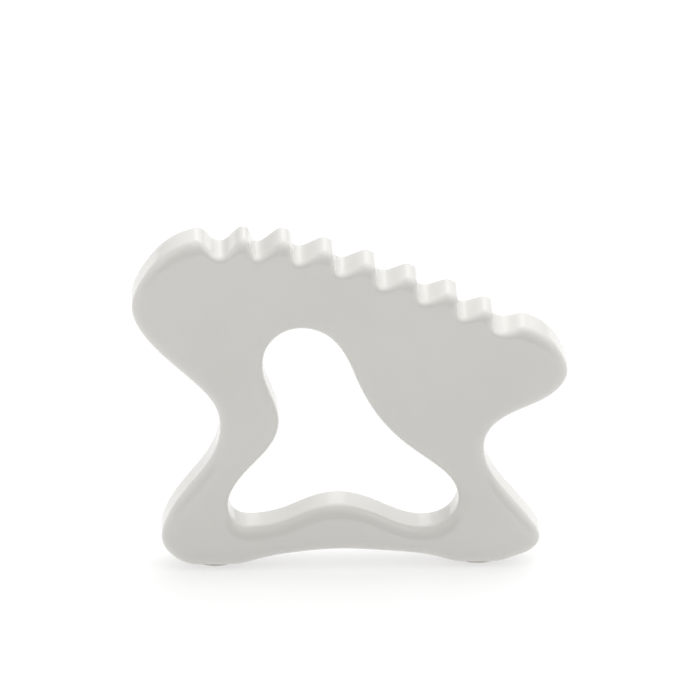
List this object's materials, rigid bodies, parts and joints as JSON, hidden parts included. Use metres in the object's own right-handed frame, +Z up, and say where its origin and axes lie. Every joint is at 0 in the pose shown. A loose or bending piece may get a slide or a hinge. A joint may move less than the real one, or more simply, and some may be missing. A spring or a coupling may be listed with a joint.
{
  "type": "toast rack",
  "caption": "Free-standing slab-shaped toast rack in white glazed ceramic, with a grooved sloping crest, a bell-shaped hole and padded feet.",
  "frame": {"origin": "on the table under the middle of the rack, at the bottom centre of its box", "axes": "+X along the rack from the high lobe to the low lobe, +Y through the slab from the front face to the back face, +Z up"},
  "size_m": [0.19, 0.022, 0.1585],
  "materials": {
    "white_glaze": "clear gloss glaze over white porcelain",
    "clear_silicone": "satin translucent silicone"
  },
  "bodies": {
    "root": {"body": "white_glaze", "left_foot_pad": "clear_silicone", "right_foot_pad": "clear_silicone"}
  },
  "joints": []
}
